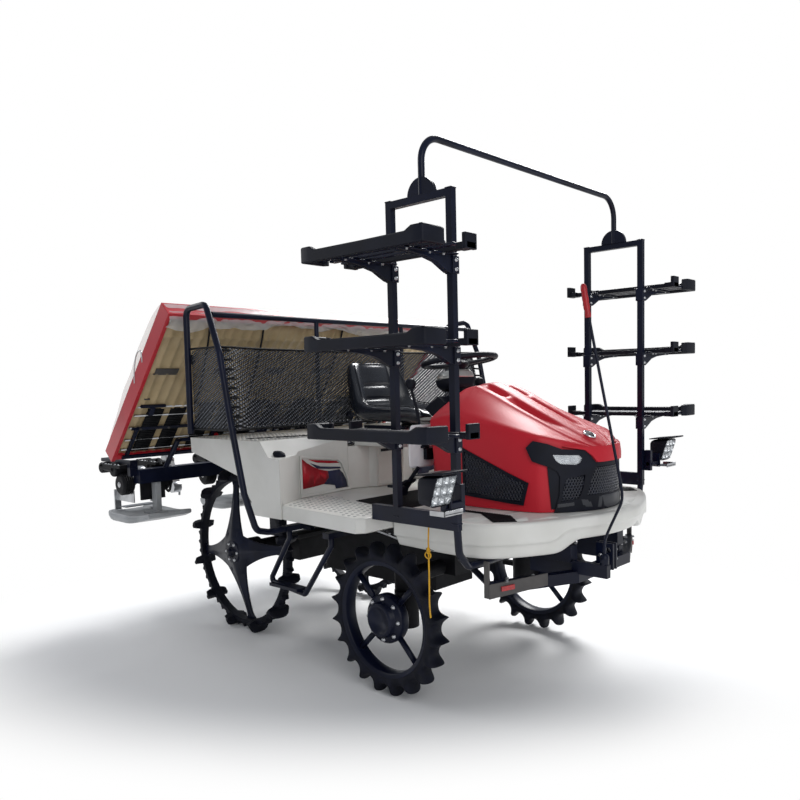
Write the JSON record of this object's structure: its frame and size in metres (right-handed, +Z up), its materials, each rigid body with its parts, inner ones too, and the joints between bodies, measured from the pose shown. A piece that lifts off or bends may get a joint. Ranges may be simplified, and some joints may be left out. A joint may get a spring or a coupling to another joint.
{
  "type": "riding rice transplanter",
  "caption": "Ride-on rice transplanter with slim lugged wheels, red hood, white decks, tray racks either side, and a lifting seedling table with planting arms behind.",
  "frame": {"origin": "bottom centre of the whole machine, on the ground", "axes": "+X forward, +Y to the machine's left, +Z up"},
  "size_m": [2.86, 2.04, 2.1905],
  "materials": {
    "belt_rubber": "ribbed",
    "black_plastic": "textured",
    "black_steel": "satin",
    "bright_steel": "machined",
    "cast_black": "painted",
    "cord": "braided",
    "film": "thin clear film",
    "float_plastic": "moulded",
    "net": "knitted",
    "red_panel": "gloss",
    "red_steel": "gloss",
    "seat_vinyl": "vinyl",
    "table_plastic": "moulded",
    "tyre": "moulded rubber",
    "white_panel": "moulded"
  },
  "bodies": {
    "chassis": {"aim_pole": "black_steel", "chassis_frame": "black_steel", "dash_cowl": "red_panel", "dash_panel": "black_plastic", "engine_block": "cast_black", "floor_deck": "white_panel", "foot_pedal": "black_plastic", "foot_steps": "black_steel", "front_axle": "cast_black", "front_bar": "black_steel", "front_skirt": "white_panel", "guard_hoops": "black_steel", "guard_net": "net", "guard_rear_frame": "black_steel", "hand_levers": "black_plastic", "rack_arch": "black_steel", "rack_frames": "black_steel", "rack_shelves": "black_steel", "rear_axle": "cast_black", "rear_deck": "white_panel", "seat_back": "seat_vinyl", "seat_cushion": "seat_vinyl", "seat_pedestal": "white_panel", "seat_rails": "black_steel", "steering_column": "black_plastic", "tie_cord": "cord", "transmission_case": "cast_black", "work_lamps": "black_plastic"},
    "hood": {"hood_shell": "red_panel", "front_mask": "black_plastic", "side_grilles": "black_plastic"},
    "steering_wheel": {"steering_wheel": "black_plastic"},
    "knuckle_right": {"knuckle_right": "cast_black"},
    "knuckle_left": {"knuckle_left": "cast_black"},
    "front_wheel_right": {"front_tyre_right": "tyre", "front_rim_right": "black_steel"},
    "front_wheel_left": {"front_tyre_left": "tyre", "front_rim_left": "black_steel"},
    "rear_wheel_right": {"rear_wheel_ring_right": "tyre", "rear_wheel_disc_right": "black_steel"},
    "rear_wheel_left": {"rear_wheel_ring_left": "tyre", "rear_wheel_disc_left": "black_steel"},
    "lower_link": {"lower_link": "black_steel"},
    "upper_link": {"upper_link": "black_steel"},
    "lift_cylinder": {"lift_cylinder": "black_steel"},
    "lift_rod": {"lift_rod": "bright_steel"},
    "planter": {"planter_frame": "black_steel", "table_runners": "black_steel", "planting_cases": "cast_black", "floats": "float_plastic"},
    "seedling_table": {"feed_belts": "belt_rubber", "film_cover": "film", "table_frame": "red_steel", "table_panel": "table_plastic"},
    "rotor_right": {"planting_rotor_right": "bright_steel"},
    "rotor_centre": {"planting_rotor_centre": "bright_steel"},
    "rotor_left": {"planting_rotor_left": "bright_steel"}
  },
  "joints": [
    {"name": "hood_open", "type": "hinge", "parent": "chassis", "child": "hood", "pos_m": [0.58595, 0, 1.222], "axis": [0, -1, 0], "range_deg": [0, 40]},
    {"name": "steer_right", "type": "hinge", "parent": "chassis", "child": "knuckle_right", "pos_m": [0.54995, -0.435, 0.32396], "axis": [0, 0, 1], "range_deg": [-40, 40]},
    {"name": "steer_left", "type": "hinge", "parent": "chassis", "child": "knuckle_left", "pos_m": [0.54995, 0.435, 0.32396], "axis": [0, 0, 1], "range_deg": [-40, 40]},
    {"name": "steering_wheel_turn", "type": "hinge", "parent": "chassis", "child": "steering_wheel", "pos_m": [0.52115, 0, 1.324], "axis": [-0.1357, 0, 0.9907], "range_deg": [-360, 360]},
    {"name": "front_wheel_spin_right", "type": "hinge", "parent": "knuckle_right", "child": "front_wheel_right", "pos_m": [0.54995, -0.555, 0.32396], "axis": [0, 1, 0], "continuous": true},
    {"name": "rear_wheel_spin_right", "type": "hinge", "parent": "chassis", "child": "rear_wheel_right", "pos_m": [-0.67005, -0.425, 0.42984], "axis": [0, 1, 0], "continuous": true},
    {"name": "front_wheel_spin_left", "type": "hinge", "parent": "knuckle_left", "child": "front_wheel_left", "pos_m": [0.54995, 0.555, 0.32396], "axis": [0, 1, 0], "continuous": true},
    {"name": "rear_wheel_spin_left", "type": "hinge", "parent": "chassis", "child": "rear_wheel_left", "pos_m": [-0.67005, 0.425, 0.42984], "axis": [0, 1, 0], "continuous": true},
    {"name": "lift", "type": "hinge", "parent": "chassis", "child": "lower_link", "pos_m": [-0.42005, 0, 0.56], "axis": [0, -1, 0], "range_deg": [0, 43]},
    {"name": "upper_link_turn", "type": "hinge", "parent": "chassis", "child": "upper_link", "pos_m": [-0.42005, 0, 0.72], "axis": [0, -1, 0], "range_deg": [0, 43]},
    {"name": "planter_level", "type": "hinge", "parent": "lower_link", "child": "planter", "pos_m": [-0.80896, 0, 0.94891], "axis": [0, -1, 0], "range_deg": [-43, 0]},
    {"name": "lift_cylinder_swing", "type": "hinge", "parent": "chassis", "child": "lift_cylinder", "pos_m": [-0.42005, 0, 0.49], "axis": [0, -1, 0], "range_deg": [0, 36.9]},
    {"name": "lift_rod_slide", "type": "slide", "parent": "lift_cylinder", "child": "lift_rod", "axis": [-0.6666, 0, 0.7454], "range_m": [-0.0446, 0]},
    {"name": "table_shift", "type": "slide", "parent": "planter", "child": "seedling_table", "axis": [0, 1, 0], "range_m": [-0.14, 0.14]},
    {"name": "planting_right", "type": "hinge", "parent": "planter", "child": "rotor_right", "pos_m": [-1.28205, -0.6, 0.812], "axis": [0, 1, 0], "continuous": true},
    {"name": "planting_centre", "type": "hinge", "parent": "planter", "child": "rotor_centre", "pos_m": [-1.28205, 0, 0.812], "axis": [0, 1, 0], "continuous": true},
    {"name": "planting_left", "type": "hinge", "parent": "planter", "child": "rotor_left", "pos_m": [-1.28205, 0.6, 0.812], "axis": [0, 1, 0], "continuous": true}
  ],
  "couplings": [
    {"joint": "steer_left", "follows": "steer_right", "ratio": 1},
    {"joint": "steering_wheel_turn", "follows": "steer_right", "ratio": 9},
    {"joint": "upper_link_turn", "follows": "lift", "ratio": 1},
    {"joint": "planter_level", "follows": "lift", "ratio": -1},
    {"joint": "lift_cylinder_swing", "follows": "lift", "ratio": 0.835},
    {"joint": "lift_rod_slide", "follows": "lift", "m_per_rad": -0.0567},
    {"joint": "planting_centre", "follows": "planting_right", "ratio": 1},
    {"joint": "planting_left", "follows": "planting_right", "ratio": 1}
  ]
}
